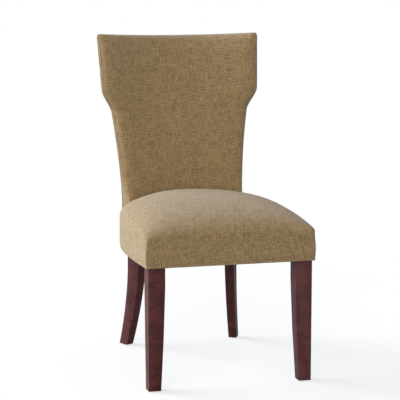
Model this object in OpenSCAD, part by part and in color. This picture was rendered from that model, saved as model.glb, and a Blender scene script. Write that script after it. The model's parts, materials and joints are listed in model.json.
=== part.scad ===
// Upholstered dining chair: tight crowned seat, barrel back with flared wings,
// square tapered front legs and splayed sabre rear legs.
// The front faces -Y, the origin is on the floor under the middle of the chair.

/* [Overall] */
// Front of the seat to the rearmost point of the back
overall_depth = 696; // [640:2:760]
// Floor to the tips of the wings
overall_height = 1000; // [940:2:1060]
// How much lower the middle of the top edge is than its tips
top_dip = 9; // [2:1:24]

/* [Seat upholstery] */
// Width of the seat over the cover
seat_width = 505; // [480:1:530]
// Height of the lower edge of the cover
hem_height = 363; // [340:1:380]
// Height of the side walls, from the lower edge to the crown
wall_height = 86; // [84:1:93]
// Rise of the crown above the side walls
crown_rise = 85; // [60:1:95]
// Outward bulge of the walls at mid height
wall_bulge = 2.5; // [0:0.5:5]
// Distance from the front of the seat at which the sides begin to draw in
draw_start = 158; // [120:2:200]
// How far each side draws in by the rear corner
draw_in = 66; // [50:1:72]

/* [Back] */
// Radius of the outside back at seat height
back_radius = 376; // [368:1:384]
// How far behind its foot the top of the back lies
back_lean = 83.2; // [62:0.4:100]
// Lower edge of the cover to the height at which the back starts to lean
lean_rise = 117; // [108:1:126]
// Thickness of the back at its edges
back_thickness = 40; // [38:0.5:46]
// Extra thickness in the middle of the back
back_crown = 8; // [0:0.5:12]
// Half width of the back at seat height
back_half_width = 199; // [194:1:204]
// Half width of the back just under the wings
waist_half_width = 221; // [214:1:228]
// Half width over the wings at their lower corner
wing_half_width = 255; // [244:1:262]
// Half width over the wings at their tips
tip_half_width = 264; // [256:1:270]
// Height of the wings, from the end of the flare to their tips
wing_height = 172; // [150:1:190]
// Height over which the sides flare into the wings
flare_height = 76; // [60:1:96]

/* [Legs] */
// Side of the square front leg at the seat
front_leg_top = 49.5; // [46:0.5:52]
// Side of the square front leg at the floor
front_leg_foot = 36.5; // [30:0.5:44]
// Lower edge of the cover to the height at which the front leg begins to taper
taper_drop = 58; // [20:2:120]
// Width of a rear leg at the seat
post_width = 29.5; // [27:0.5:31]
// Width of a rear leg at the floor
post_foot_width = 26; // [22:0.5:29]
// Depth of a rear leg under the seat
post_depth = 54; // [50:0.5:56]
// Depth of a rear leg at the floor
post_foot_depth = 36; // [30:0.5:44]
// How far the rear foot sweeps back
post_sweep = 47; // [30:1:60]
// Lower edge of the cover to the height at which the sweep begins
sweep_drop = 93; // [60:1:120]
// Angle of the rear legs round the barrel, in degrees
post_angle = 27; // [26.5:0.1:27.5]
// Depth of the post inside the back
stile_depth = 20; // [18:0.5:22]

/* [Frame] */
// Height of the seat rails
rail_height = 75; // [65:1:75]
// Thickness of the seat rails
rail_thickness = 25; // [20:0.5:28]
// Depth of the rails in the back
back_rail_depth = 20; // [17:0.5:20]
// Height of the rails in the back
back_rail_height = 50; // [40:1:60]
// Diameter of the dowels
dowel_d = 9.5; // [8:0.5:10]
// Length of the dowels
dowel_length = 36; // [30:1:40]
// Clearance of a dowel in its bore, on the diameter
dowel_clearance = 0.2; // [0.1:0.05:0.4]
// Length of each leg of a corner block
block_leg = 95; // [85:1:105]
// Height of a corner block
block_height = 50; // [40:1:60]
// Shank diameter of the frame screws
screw_d = 4.5; // [4:0.25:5]
// Length of the corner block screws
block_screw_length = 60; // [55:1:65]
// Head diameter of the frame screws
screw_head_d = 9; // [8:0.25:10]
// Height of a countersunk screw head
screw_head_h = 3; // [2:0.25:4]
// Clearance of a screw in its hole, on the diameter
screw_clearance = 0.2; // [0.1:0.05:0.4]

/* [Layers] */
// Thickness of the cover fabric
fabric = 1.6; // [1.2:0.1:2]
// Thickness of the wadding under the cover
wadding = 4; // [3:0.25:4.5]
// Space left between soft layers
layer_gap = 0.3; // [0.2:0.05:0.5]
// Cover to frame distance at the sides of the seat
side_padding = 7.5; // [7:0.1:9]
// Thickness of the webbing
web_thickness = 1.4; // [1:0.1:1.8]
// Width of the webbing
web_width = 50; // [40:1:55]
// Thickness of the hessian over the webbing
hessian = 0.9; // [0.6:0.1:1.2]
// Thickness of the stiff outside back board
board = 3; // [2.5:0.25:3.5]
// Thickness of the black dust cover under the seat
dust_cloth = 0.8; // [0.5:0.1:1.2]
// Length of the crown of a staple
staple_crown = 10; // [8:0.5:14]
// Thickness of the staple wire
staple_wire = 0.6; // [0.4:0.1:0.8]
// Distance between the dust cover staples
staple_pitch = 42; // [30:1:60]
// Diameter of the floor glides
glide_d = 20; // [16:0.5:22]
// Height of the floor glides
glide_height = 3; // [2:0.25:5]
// Diameter of the nail of a glide
nail_d = 2.5; // [2:0.25:3]
// Length of the nail of a glide
nail_length = 16; // [12:1:22]

/* [Hidden] */

// Overrun of the cuts
cut = 1;
// Facets of the round pieces
$fn = 96;

// Heights of the cover, the back and the legs
wall_top = hem_height + wall_height;
lean_start = hem_height + lean_rise;
flare_end = overall_height - wing_height;
flare_start = flare_end - flare_height;
taper_start = hem_height - taper_drop;
sweep_start = hem_height - sweep_drop;

// Heights of the frame
rail_bottom = hem_height + layer_gap + dust_cloth + staple_wire + layer_gap;
rail_top = rail_bottom + rail_height;
rail_middle = (rail_bottom + rail_top) / 2;
web_base = rail_top;
cross_web_base = web_base + web_thickness + layer_gap;
hessian_base = cross_web_base + web_thickness + layer_gap;
deck = hessian_base + hessian + layer_gap;

// Plan of the seat
seat_front = -overall_depth / 2;
leg_front = seat_front + side_padding;
leg_outer = seat_width / 2 - side_padding;
leg_inner = leg_outer - front_leg_top;
leg_back = leg_front + front_leg_top;

// Plan of the barrel
top_middle = overall_height - top_dip;
lean_rate = back_lean / (top_middle - lean_start);
function outside_radius(z) = back_radius + max(0, z - lean_start) * lean_rate;
barrel_y = overall_depth / 2 - outside_radius(top_middle);
// Space between the seat and the inside back
back_seat_gap = 2;
seat_rear_radius = back_radius - back_thickness - back_seat_gap;
// Distance from the outside of the back to the frame behind the board
frame_inset = fabric + board + 3 * layer_gap;
post_back = back_radius - frame_inset;
post_front = post_back - post_depth;

// Half width of the seat at y, and the power with which its sides draw in
draw_end_share = 0.827;
draw_end = barrel_y + draw_end_share * seat_rear_radius;
draw_power_share = 4.9;
function seat_half_width(y) =
    let (t = max(0, (y - seat_front - draw_start) / (draw_end - seat_front - draw_start)))
    seat_width / 2 - draw_in * pow(t, draw_power_share);

// Shares and powers of the crown of the seat
crown_side_share = 2.32;
crown_side_root_share = 1 / 2.64;
crown_front_share = 2.64;
crown_front_root_share = 1 / 2;
crown_rear_drop_share = 0.386;
crown_full_share = 0.876;
function crown_share(u, v) =
    pow(max(0, 1 - pow(abs(u), crown_side_share)), crown_side_root_share)
    * pow(max(0, 1 - pow(1 - v, crown_front_share)), crown_front_root_share)
    * (1 - crown_rear_drop_share * pow(v, 3));

// A point of the seat's surface, inset by d: u runs across, v from the front to the back
function barrel_arc(x, r) = barrel_y + sqrt(max(0, r * r - x * x));
function seat_plan(u, v, d) =
    let (
        front = seat_front + d,
        r = seat_rear_radius - d,
        rough = min(draw_end, front + v * (barrel_y + r - front)),
        x0 = u * (seat_half_width(rough) - d),
        y = front + v * (barrel_arc(x0, r) - front)
    )
    [u * (seat_half_width(min(draw_end, y)) - d), y];
function seat_point(u, v, d) =
    let (p = seat_plan(u, v, d))
    [p[0], p[1], wall_top + (crown_rise - d / crown_full_share) * crown_share(u, v)];

// Half width of the back at height z: a slow swelling, then the flare into the wings
function smooth(t) = let (c = min(1, max(0, t))) c * c * (3 - 2 * c);
swell_share = 1.7;
function back_edge(z) =
    let (
        t = max(0, (z - lean_start) / (flare_start - lean_start)),
        body = back_half_width + (waist_half_width - back_half_width) * pow(t, swell_share),
        w = max(0, (z - flare_end) / (overall_height - flare_end)),
        wing = wing_half_width + (tip_half_width - wing_half_width) * w,
        f = smooth((z - flare_start) / (flare_end - flare_start))
    )
    min(body, waist_half_width) * (1 - f) + wing * f;
// Height of the top edge at x
function top_edge(x) = top_middle + top_dip * pow(min(1, abs(x) / tip_half_width), 2);
// A point at the depth n from the outside of the back, at the share a of its half width
function back_point(a, z, n, d) =
    let (
        r = outside_radius(z) - n,
        edge = asin((back_edge(z) - d) / outside_radius(z))
    )
    [r * sin(a * edge), barrel_y + r * cos(a * edge), z];

// Closed forms over a grid of points

// The steps round the border of a grid of nu by nv cells, as grid positions
function border(nu, nv) = concat(
    [for (i = [0 : nu - 1]) [i, 0]],
    [for (j = [0 : nv - 1]) [nu, j]],
    [for (i = [nu : -1 : 1]) [i, nv]],
    [for (j = [nv : -1 : 1]) [0, j]]
);
// Two grids joined by rings round their borders; each ring has one point per border step
module closed_form(front, rings, rear, nu, nv) {
    around = border(nu, nv);
    m = len(around);
    cells = (nu + 1) * (nv + 1);
    function at(p) = p[1] * (nu + 1) + p[0];
    first = [for (p = around) at(p)];
    middle = [for (k = [0 : 1 : len(rings) - 1]) [for (i = [0 : m - 1]) cells + k * m + i]];
    last = [for (p = around) cells + len(rings) * m + at(p)];
    loops = concat([first], middle, [last]);
    points = concat(front, [for (r = rings) each r], rear);
    back_start = cells + len(rings) * m;
    faces = concat(
        [for (j = [0 : nv - 1], i = [0 : nu - 1]) each
            let (a = at([i, j]), b = at([i + 1, j]), c = at([i + 1, j + 1]), d = at([i, j + 1]))
            [[a, c, b], [a, d, c]]],
        [for (k = [0 : len(loops) - 2], i = [0 : m - 1]) each
            let (n = (i + 1) % m, a = loops[k][i], b = loops[k][n],
                c = loops[k + 1][n], d = loops[k + 1][i])
            [[a, b, c], [a, c, d]]],
        [for (j = [0 : nv - 1], i = [0 : nu - 1]) each
            let (a = back_start + at([i, j]), b = back_start + at([i + 1, j]),
                c = back_start + at([i + 1, j + 1]), d = back_start + at([i, j + 1]))
            [[a, b, c], [a, c, d]]]
    );
    polyhedron(points, faces, convexity = 8);
}
// Spacing that is finer towards both edges, from -1 to 1 or from 0 to 1
function both_edges(i, n) = sin(90 * (2 * i / n - 1));
function both_ends(j, n) = (1 + both_edges(j, n)) / 2;

// Seat forms

seat_nu = 14;
seat_nv = 14;
wall_steps = 3;
function seat_grid(d, flat) = [
    for (j = [0 : seat_nv], i = [0 : seat_nu])
        let (p = seat_point(both_edges(i, seat_nu), both_ends(j, seat_nv), d))
        flat == undef ? p : [p[0], p[1], flat]
];
// A ring of the walls: outward along the plan by the bulge, at the share t of the wall
function wall_ring(d, t, low) = [
    for (p = border(seat_nu, seat_nv))
        let (
            u = both_edges(p[0], seat_nu),
            v = both_ends(p[1], seat_nv),
            q = seat_plan(u, v, d),
            top = seat_point(u, v, d)[2],
            rear = p[1] == seat_nv,
            inner_rear = rear && p[0] > 0 && p[0] < seat_nu,
            base = inner_rear ? max(low, deck) : low,
            swell = rear ? 0 : wall_bulge * sin(180 * t),
            side = p[0] == 0 ? -1 : p[0] == seat_nu ? 1 : 0,
            ahead = p[1] == 0 ? -1 : 0
        )
        [q[0] + side * swell, q[1] + ahead * swell, base + (top - base) * t]
];
module seat_skin(outer, inner, low) {
    closed_form(
        seat_grid(outer),
        concat(
            [for (k = [wall_steps - 1 : -1 : 0]) wall_ring(outer, k / wall_steps, low)],
            [for (k = [0 : wall_steps - 1]) wall_ring(inner, k / wall_steps, low)]
        ),
        seat_grid(inner), seat_nu, seat_nv
    );
}

// Back forms

back_nu = 14;
body_rows = 7;
flare_rows = 6;
wing_rows = 7;
back_nv = body_rows + flare_rows + wing_rows;
back_base = deck + layer_gap;
front_round_share = 0.3;
pad_side_share = 8;
pad_top_share = 22;
pad_crown_share = 4;
pad_rise_share = 2.5;
// Height of the row j where the form ends at top and starts at base
function row_height(j, base, top) =
    let (f = j - body_rows, w = f - flare_rows)
    j == 0 ? base
    : f <= 0 ? lean_start + (flare_start - lean_start) * (j - 1) / (body_rows - 1)
    : w <= 0 ? flare_start + (flare_end - flare_start) * f / flare_rows
    : flare_end + (top - flare_end) * sin(90 * w / wing_rows);
// Depth of the padding at the share a across and t up, for the full depth n
function pad_depth(a, t, n, round_depth) =
    let (
        side = pow(max(0, 1 - pow(abs(a), pad_side_share)), front_round_share),
        cap = pow(max(0, 1 - pow(t, pad_top_share)), front_round_share),
        crown = back_crown * (1 - a * a) * (1 - pow(t, pad_crown_share)) * smooth(pad_rise_share * t)
    )
    n - round_depth * (1 - side * cap) + crown;
// The front surface, inset by d on every side, at the full depth n; a form held back
// by more than the layers over it passes the difference as short
function back_grid(d, n, short = 0) = [
    for (j = [0 : back_nv], i = [0 : back_nu])
        let (
            a = both_edges(i, back_nu),
            top = top_edge(a * tip_half_width) - d,
            z = row_height(j, back_base, top),
            t = (z - back_base) / (top + short - back_base),
            across = a * (1 - short / back_edge(z))
        )
        back_point(a, z, pad_depth(across, t, n, edge_round), d)
];
// The same grid laid at one depth from the outside of the back
function back_sheet(d, n) = [
    for (j = [0 : back_nv], i = [0 : back_nu])
        let (a = both_edges(i, back_nu), top = top_edge(a * tip_half_width) - d)
        back_point(a, row_height(j, back_base, top), n, d)
];
// The border at the depth n, left at the front along the open lower edge
function back_ring(d, n) = [
    for (p = border(back_nu, back_nv))
        let (
            a = both_edges(p[0], back_nu),
            top = top_edge(a * tip_half_width) - d,
            open = p[1] == 0 && abs(a) < 1,
            front = pad_depth(a, 0, back_thickness - d, edge_round)
        )
        back_point(a, row_height(p[1], back_base, top), open ? front : n, d)
];
edge_round = back_thickness / 3;
// A skin between the insets outer and inner, open towards the outside of the back
module back_skin(outer, inner, rear) {
    closed_form(
        back_grid(outer, back_thickness - outer),
        [back_ring(outer, rear), back_ring(inner, rear)],
        back_grid(inner, back_thickness - inner),
        back_nu, back_nv
    );
}

// Places and shapes of the frame

// Draws its children on the right, or mirrored on the left
module on_side(side) {
    mirror([side < 0 ? 1 : 0, 0, 0]) children();
}
// The frame of a rear post: Y runs outward along the barrel's radius, X away from the chair
module at_post() {
    translate([0, barrel_y, 0]) rotate([0, 0, -post_angle]) children();
}
// A solid between the depths near and far from the outside of the back
module barrel_slice(low, high, near, far, span) {
    bend = min(max(low, lean_start), high);
    translate([0, barrel_y, 0]) rotate([0, 0, 90 - span]) rotate_extrude(angle = 2 * span)
        polygon([
            [outside_radius(low) - far, low],
            [outside_radius(low) - near, low],
            if (bend > low && bend < high) [outside_radius(bend) - near, bend],
            [outside_radius(high) - near, high],
            [outside_radius(high) - far, high],
            if (bend > low && bend < high) [outside_radius(bend) - far, bend]
        ]);
}
full_span = 45;
// Everything outside the side edge of the back, with the edge moved in by pad
edge_angle = 33;
function edge_x(z) =
    outside_radius(z) * sin(asin(back_edge(z) / outside_radius(z)) - edge_angle);
module outside_edge(pad) {
    low = hem_height - rail_height;
    high = overall_height + rail_height;
    translate([0, barrel_y, 0]) rotate([0, 0, -edge_angle])
        translate([0, overall_depth, 0]) rotate([90, 0, 0]) linear_extrude(height = overall_depth)
            polygon(concat(
                [[edge_x(low) - pad, low]],
                [for (j = [0 : back_nv]) let (z = row_height(j, back_base, overall_height))
                    if (j != 1) [edge_x(z) - pad, z]],
                [
                    [edge_x(overall_height) - pad, high],
                    [overall_depth / 2, high],
                    [overall_depth / 2, low]
                ]
            ));
}
// Everything above the top edge, with the edge moved down by pad
top_steps = 16;
module above_top(pad) {
    translate([0, overall_depth, 0]) rotate([90, 0, 0])
        linear_extrude(height = 2 * overall_depth)
            polygon(concat(
                [for (k = [-top_steps : top_steps]) let (x = tip_half_width * k / top_steps)
                    [x * 2, top_edge(x) - pad]],
                [[tip_half_width * 2, overall_height * 2], [-tip_half_width * 2, overall_height * 2]]
            ));
}
// Everything beyond the inner face of the rear posts
module beyond_posts() {
    for (side = [-1, 1]) on_side(side) at_post()
        translate([-post_width / 2, 0, -cut])
            cube([overall_depth, overall_depth, overall_height + rail_height]);
}

// Dowels, as [centre, direction] pairs
dowel_rise = rail_height / 4;
module dowel(extra, longer) {
    cylinder(d = dowel_d + extra, h = dowel_length + longer, center = true);
}
// Front rail into the front leg
module front_rail_dowels(extra = 0, longer = 0) {
    for (s = [-1, 1])
        translate([leg_inner, leg_front + rail_thickness / 2, rail_middle + s * dowel_rise])
            rotate([0, 90, 0]) dowel(extra, longer);
}
// Side rail into the front leg
module side_rail_front_dowels(extra = 0, longer = 0) {
    for (s = [-1, 1])
        translate([leg_outer - rail_thickness / 2, leg_back, rail_middle + s * dowel_rise])
            rotate([90, 0, 0]) dowel(extra, longer);
}
// Side rail into the rear post
module side_rail_rear_dowels(extra = 0, longer = 0) {
    at_post() for (s = [-1, 1])
        translate([0, post_front, rail_middle + s * dowel_rise])
            rotate([90, 0, 0]) dowel(extra, longer);
}
// A rail of the barrel into the rear post, at the height z and the depth n
module barrel_dowels(z, rise, n, extra = 0, longer = 0) {
    at_post() for (s = [-1, 1])
        translate([-post_width / 2, outside_radius(z + s * rise) - n, z + s * rise])
            rotate([0, 90, 0]) dowel(extra, longer);
}
rear_rail_depth = frame_inset + rail_thickness / 2;
module back_seat_rail_dowels(extra = 0, longer = 0) {
    barrel_dowels(rail_middle, dowel_rise, rear_rail_depth, extra, longer);
}
// Lower, middle and top rail of the back, each as the height of its lower edge
frame_top = top_middle - back_rail_depth;
lower_rail_low = lean_start;
middle_rail_low = flare_start - back_rail_height / 2;
top_rail_low = frame_top - back_rail_height;
back_rail_lows = [lower_rail_low, middle_rail_low, top_rail_low];
module back_frame_dowels(extra = 0, longer = 0) {
    for (low = back_rail_lows)
        barrel_dowels(
            low + back_rail_height / 2, back_rail_height / 4,
            frame_inset + back_rail_depth / 2, extra, longer
        );
}
// What the bores add to the dowels
bore_end = 2;

// Screws

// A countersunk screw along -Z with its head at zero; extra widens it into a hole
module screw(length, extra = 0, open = 0) {
    r = (screw_d + extra) / 2;
    head = (screw_head_d + extra) / 2;
    rotate_extrude() polygon([
        [0, open],
        [head, open],
        if (open > 0) [head, 0],
        [r, -screw_head_h],
        [r, -length + screw_d],
        [0, -length - extra]
    ]);
}
block_screw_rise = block_height / 6;
// Corner blocks: the front one sits in the corner of the rails, the rear one beside the post
front_corner_x = leg_outer - rail_thickness;
front_corner_y = leg_front + rail_thickness;
module front_block_screws(extra = 0, open = 0) {
    for (s = [-1, 1])
        translate([front_corner_x - block_leg / 2, front_corner_y + block_leg / 2,
                rail_middle + s * block_screw_rise])
            rotate([0, 0, 45]) rotate([-90, 0, 0]) screw(block_screw_length, extra, open);
}
rear_block_in_share = 0.95;
rear_block_run_share = 1.2;
rear_block_in = block_leg * rear_block_in_share;
rear_block_out = post_width;
rear_block_back = post_back - rail_thickness / 2;
rear_block_run = block_leg * rear_block_run_share;
rear_block_angle = atan2(rear_block_run, rear_block_in + rear_block_out);
module rear_block_screws(extra = 0, open = 0) {
    at_post() for (s = [-1, 1])
        translate([(rear_block_out - rear_block_in) / 2, rear_block_back - rear_block_run / 2,
                rail_middle + s * block_screw_rise])
            rotate([0, 0, -rear_block_angle]) rotate([90, 0, 0])
                screw(block_screw_length, extra, open);
}
wing_screw_length = post_width;
wing_screw_open = tip_half_width - back_half_width;
wing_screw_sink = side_padding / 2;
// One into the seat rail, the others midway between the rails of the back
wing_screw_heights = [
    rail_middle,
    (lower_rail_low + back_rail_height + middle_rail_low) / 2,
    (middle_rail_low + back_rail_height + top_rail_low) / 2
];
module wing_screws(extra = 0, open = 0) {
    at_post() for (z = wing_screw_heights)
        translate([post_width / 2 + wing_screw_sink, outside_radius(z) - frame_inset - stile_depth / 2, z])
            rotate([0, 90, 0]) screw(wing_screw_length, extra, open);
}

// Colours
stain = "#5a2f30";
bare_wood = "#c8a676";
beech = "#d9b98c";
steel = "#a9a9a6";
linen = "#8f7a58";
wadding_white = "#eeece6";
foam_cream = "#ece0b8";
jute = "#b59a6a";
web_black = "#3a3836";
cambric = "#1d1c1c";
nylon = "#5c4a3c";
card_grey = "#a9a49a";

// Legs

module front_leg() {
    // The taper is slightly bowed: its knee, as shares of the taper's height and width
    knee_share = 0.5;
    knee_inset_share = 0.4;
    knee_inset = (front_leg_top - front_leg_foot) * knee_inset_share;
    // The taper of one inner face: outer face at zero, floor to seat rail
    function taper() = [
        [0, glide_height],
        [front_leg_foot, glide_height],
        [front_leg_top - knee_inset, taper_start * knee_share],
        [front_leg_top, taper_start],
        [front_leg_top, rail_top],
        [0, rail_top]
    ];
    color(stain) difference() {
        translate([leg_outer, leg_front, 0]) intersection() {
            rotate([90, 0, 0]) translate([0, 0, -front_leg_top])
                linear_extrude(height = front_leg_top) mirror([1, 0, 0]) polygon(taper());
            rotate([90, 0, -90]) linear_extrude(height = front_leg_top)
                mirror([1, 0, 0]) polygon(taper());
        }
        front_rail_dowels(dowel_clearance, bore_end);
        side_rail_front_dowels(dowel_clearance, bore_end);
        front_block_screws(screw_clearance);
        front_glide(screw_clearance);
    }
}
module left_front_leg() { on_side(-1) front_leg(); }
module right_front_leg() { on_side(1) front_leg(); }

sweep_power_share = 1.7;
sweep_steps = 14;
stile_top = top_middle - edge_round;
function post_rear(z) = post_back + post_sweep * pow(1 - min(1, z / sweep_start), sweep_power_share);
function post_thick(z) = post_foot_depth + (post_depth - post_foot_depth) * min(1, z / sweep_start);
module rear_post() {
    heights = [for (k = [0 : sweep_steps])
        glide_height + (sweep_start - glide_height) * k / sweep_steps];
    profile = concat(
        [for (z = heights) [post_rear(z), z]],
        [
            [post_back, lean_start],
            [outside_radius(stile_top) - frame_inset, stile_top],
            [outside_radius(stile_top) - frame_inset - stile_depth, stile_top],
            [post_back - stile_depth, lean_start],
            [post_back - stile_depth, rail_top],
            [post_front, rail_top]
        ],
        [for (k = [sweep_steps : -1 : 0]) [post_rear(heights[k]) - post_thick(heights[k]), heights[k]]]
    );
    color(stain) difference() {
        at_post() intersection() {
            rotate([90, 0, 90]) linear_extrude(height = post_width, center = true) polygon(profile);
            translate([0, overall_depth, 0]) rotate([90, 0, 0])
                linear_extrude(height = 2 * overall_depth) polygon([
                    [-post_foot_width / 2, glide_height],
                    [post_foot_width / 2, glide_height],
                    [post_width / 2, sweep_start],
                    [post_width / 2, overall_height],
                    [-post_width / 2, overall_height],
                    [-post_width / 2, sweep_start]
                ]);
        }
        side_rail_rear_dowels(dowel_clearance, bore_end);
        back_seat_rail_dowels(dowel_clearance, bore_end);
        back_frame_dowels(dowel_clearance, bore_end);
        rear_block_screws(screw_clearance);
        wing_screws(screw_clearance);
        rear_glide(screw_clearance);
    }
}
module left_rear_post() { on_side(-1) rear_post(); }
module right_rear_post() { on_side(1) rear_post(); }

// Floor glides: a domed disc with its nail

module glide(extra) {
    r = glide_d / 2;
    rotate_extrude() polygon([
        [0, 0],
        [r - glide_height / 2, 0],
        [r, glide_height / 2],
        [r, glide_height],
        [(nail_d + extra) / 2, glide_height],
        [(nail_d + extra) / 2, nail_length + extra],
        [0, nail_length + nail_d + extra]
    ]);
}
module front_glide(extra = 0) {
    translate([leg_outer - front_leg_foot / 2, leg_front + front_leg_foot / 2, 0]) glide(extra);
}
module rear_glide(extra = 0) {
    at_post() translate([0, post_rear(0) - post_foot_depth / 2, 0]) glide(extra);
}
module front_left_glide() { color(nylon) on_side(-1) front_glide(); }
module front_right_glide() { color(nylon) on_side(1) front_glide(); }
module rear_left_glide() { color(nylon) on_side(-1) rear_glide(); }
module rear_right_glide() { color(nylon) on_side(1) rear_glide(); }

// Seat rails

module front_seat_rail() {
    color(beech) difference() {
        translate([-leg_inner, leg_front, rail_bottom]) cube([2 * leg_inner, rail_thickness, rail_height]);
        for (side = [-1, 1]) on_side(side) front_rail_dowels(dowel_clearance, bore_end);
    }
}
module back_seat_rail() {
    color(beech) difference() {
        barrel_slice(rail_bottom, rail_top, frame_inset, frame_inset + rail_thickness, post_angle);
        beyond_posts();
        for (side = [-1, 1]) on_side(side) back_seat_rail_dowels(dowel_clearance, bore_end);
    }
}
side_rail_steps = 16;
// The side rail is sawn to the plan of the seat outside, and straight inside
module side_rail_blank(low, high) {
    run = draw_end + rail_thickness - leg_back;
    heel = post_width / 2 + dowel_d;
    inner_x = post_front * sin(post_angle) - heel * cos(post_angle);
    inner_y = barrel_y + post_front * cos(post_angle) + heel * sin(post_angle);
    difference() {
        translate([0, 0, low]) linear_extrude(height = high - low) polygon(concat(
            [for (k = [0 : side_rail_steps])
                let (y = leg_back + run * k / side_rail_steps)
                [seat_half_width(y) - side_padding, y]],
            [
                [inner_x, inner_y + rail_thickness],
                [inner_x, inner_y],
                [leg_outer - rail_thickness, leg_back]
            ]
        ));
        at_post() translate([-overall_depth / 2, post_front, 0])
            cube([overall_depth, overall_depth, overall_height]);
    }
}
module side_rail() {
    color(beech) difference() {
        side_rail_blank(rail_bottom, rail_top);
        side_rail_front_dowels(dowel_clearance, bore_end);
        side_rail_rear_dowels(dowel_clearance, bore_end);
        rear_block_screws(screw_clearance);
    }
}
module left_seat_rail() { on_side(-1) side_rail(); }
module right_seat_rail() { on_side(1) side_rail(); }

// Corner blocks

module front_corner_block() {
    x = front_corner_x;
    y = front_corner_y;
    low = rail_middle - block_height / 2;
    color(bare_wood) difference() {
        translate([0, 0, low]) linear_extrude(height = block_height)
            polygon([[x + cut, y], [x + cut, y + block_leg], [x - block_leg, y]]);
        translate([leg_inner, leg_front, low - cut])
            cube([front_leg_top, front_leg_top, block_height + 2 * cut]);
        side_rail_blank(rail_bottom, rail_top);
        front_block_screws(screw_clearance, block_leg / 2);
    }
}
module rear_corner_block() {
    r = rear_block_back;
    color(bare_wood) difference() {
        at_post() translate([0, 0, rail_middle - block_height / 2])
            linear_extrude(height = block_height) polygon([
                [-post_width / 2, r],
                [-rear_block_in, r],
                [rear_block_out, r - rear_block_run],
                [rear_block_out, post_front - cut],
                [-post_width / 2, post_front - cut]
            ]);
        side_rail_blank(rail_bottom, rail_top);
        barrel_slice(rail_bottom, rail_top, 0, frame_inset + rail_thickness, full_span);
        rear_block_screws(screw_clearance, block_leg / 2);
    }
}
module front_left_corner_block() { on_side(-1) front_corner_block(); }
module front_right_corner_block() { on_side(1) front_corner_block(); }
module rear_left_corner_block() { on_side(-1) rear_corner_block(); }
module rear_right_corner_block() { on_side(1) rear_corner_block(); }
module corner_block_screws() {
    color(steel) for (side = [-1, 1]) on_side(side) {
        front_block_screws();
        rear_block_screws();
    }
}
module seat_rail_dowels() {
    color(bare_wood) for (side = [-1, 1]) on_side(side) {
        front_rail_dowels();
        side_rail_front_dowels();
        side_rail_rear_dowels();
        back_seat_rail_dowels();
    }
}

// Frame of the back

module back_rail(low) {
    color(beech) difference() {
        barrel_slice(low, low + back_rail_height, frame_inset, frame_inset + back_rail_depth, post_angle);
        beyond_posts();
        for (side = [-1, 1]) on_side(side)
            barrel_dowels(
                low + back_rail_height / 2, back_rail_height / 4,
                frame_inset + back_rail_depth / 2, dowel_clearance, bore_end
            );
    }
}
module back_lower_rail() { back_rail(lower_rail_low); }
module back_middle_rail() { back_rail(middle_rail_low); }
module back_top_rail() { back_rail(top_rail_low); }
module back_rail_dowels() {
    color(bare_wood) for (side = [-1, 1]) on_side(side) back_frame_dowels();
}
// What the soft layers need over the edge of the wing blocks
edge_padding = fabric + wadding + 3 * layer_gap;
wing_block_inset_share = 0.75;
module wing_block() {
    color(beech) difference() {
        barrel_slice(
            rail_bottom, stile_top, frame_inset,
            frame_inset + stile_depth - wadding / 2, full_span
        );
        outside_edge(edge_padding + wadding * wing_block_inset_share);
        at_post() translate([post_width / 2 - overall_depth, 0, 0])
            cube([overall_depth, overall_depth, overall_height]);
        wing_screws(screw_clearance, wing_screw_open);
    }
}
module left_wing_block() { on_side(-1) wing_block(); }
module right_wing_block() { on_side(1) wing_block(); }
module wing_block_screws() {
    color(steel) for (side = [-1, 1]) on_side(side) wing_screws();
}

// Seat deck

web_count = 4;
web_pitch = web_width + dowel_d;
module seat_webbing_lengthwise() {
    color(web_black) for (k = [0 : web_count - 1]) {
        x = (k - (web_count - 1) / 2) * web_pitch;
        reach = barrel_arc(abs(x) + web_width / 2, post_back - 2 * layer_gap);
        translate([x - web_width / 2, leg_front + fabric, web_base])
            cube([web_width, reach - leg_front - fabric, web_thickness]);
    }
}
cross_count = 6;
module seat_webbing_crosswise() {
    low = leg_back + dowel_d;
    high = barrel_y + post_front * cos(post_angle) - dowel_d;
    pitch = (high - low - web_width) / (cross_count - 1);
    color(web_black) for (k = [0 : cross_count - 1]) {
        y = low + pitch * k;
        reach = seat_half_width(y + web_width) - side_padding - fabric;
        translate([-reach, y, cross_web_base]) cube([2 * reach, web_width, web_thickness]);
    }
}
module seat_plan_sheet(inset, base, thickness) {
    translate([0, 0, base]) linear_extrude(height = thickness)
        polygon([for (p = border(seat_nu, seat_nv))
            seat_plan(both_edges(p[0], seat_nu), both_ends(p[1], seat_nv), inset)]);
}
module seat_hessian() {
    color(jute) seat_plan_sheet(side_padding + fabric, hessian_base, hessian);
}

// Soft layers of the seat

under_cover = fabric + layer_gap;
under_wadding = under_cover + wadding + layer_gap;
module seat_foam() {
    color(foam_cream) closed_form(
        seat_grid(under_wadding),
        [wall_ring(under_wadding, 0, deck)],
        seat_grid(under_wadding, deck), seat_nu, seat_nv
    );
}
module seat_wadding() {
    color(wadding_white)
        seat_skin(under_cover, under_cover + wadding, hem_height + wadding);
}
module seat_cover() {
    color(linen) seat_skin(0, fabric, hem_height);
}
// The cover's rear flap, cut at the post and brought round the block beside it
module rear_flap() {
    x = seat_half_width(draw_end);
    y = barrel_arc(x, seat_rear_radius) + 2 * layer_gap;
    a = asin(back_half_width / back_radius);
    r = back_radius - under_cover;
    far_x = r * sin(a);
    far_y = barrel_y + r * cos(a);
    color(linen) translate([0, 0, hem_height])
        linear_extrude(height = back_base - layer_gap - hem_height)
            polygon([
                [x, y],
                [far_x, far_y],
                [far_x - fabric, far_y],
                [x - fabric, barrel_arc(x - fabric, seat_rear_radius) + 2 * layer_gap]
            ]);
}
module left_rear_flap() { on_side(-1) rear_flap(); }
module right_rear_flap() { on_side(1) rear_flap(); }

// Soft layers of the back

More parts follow.
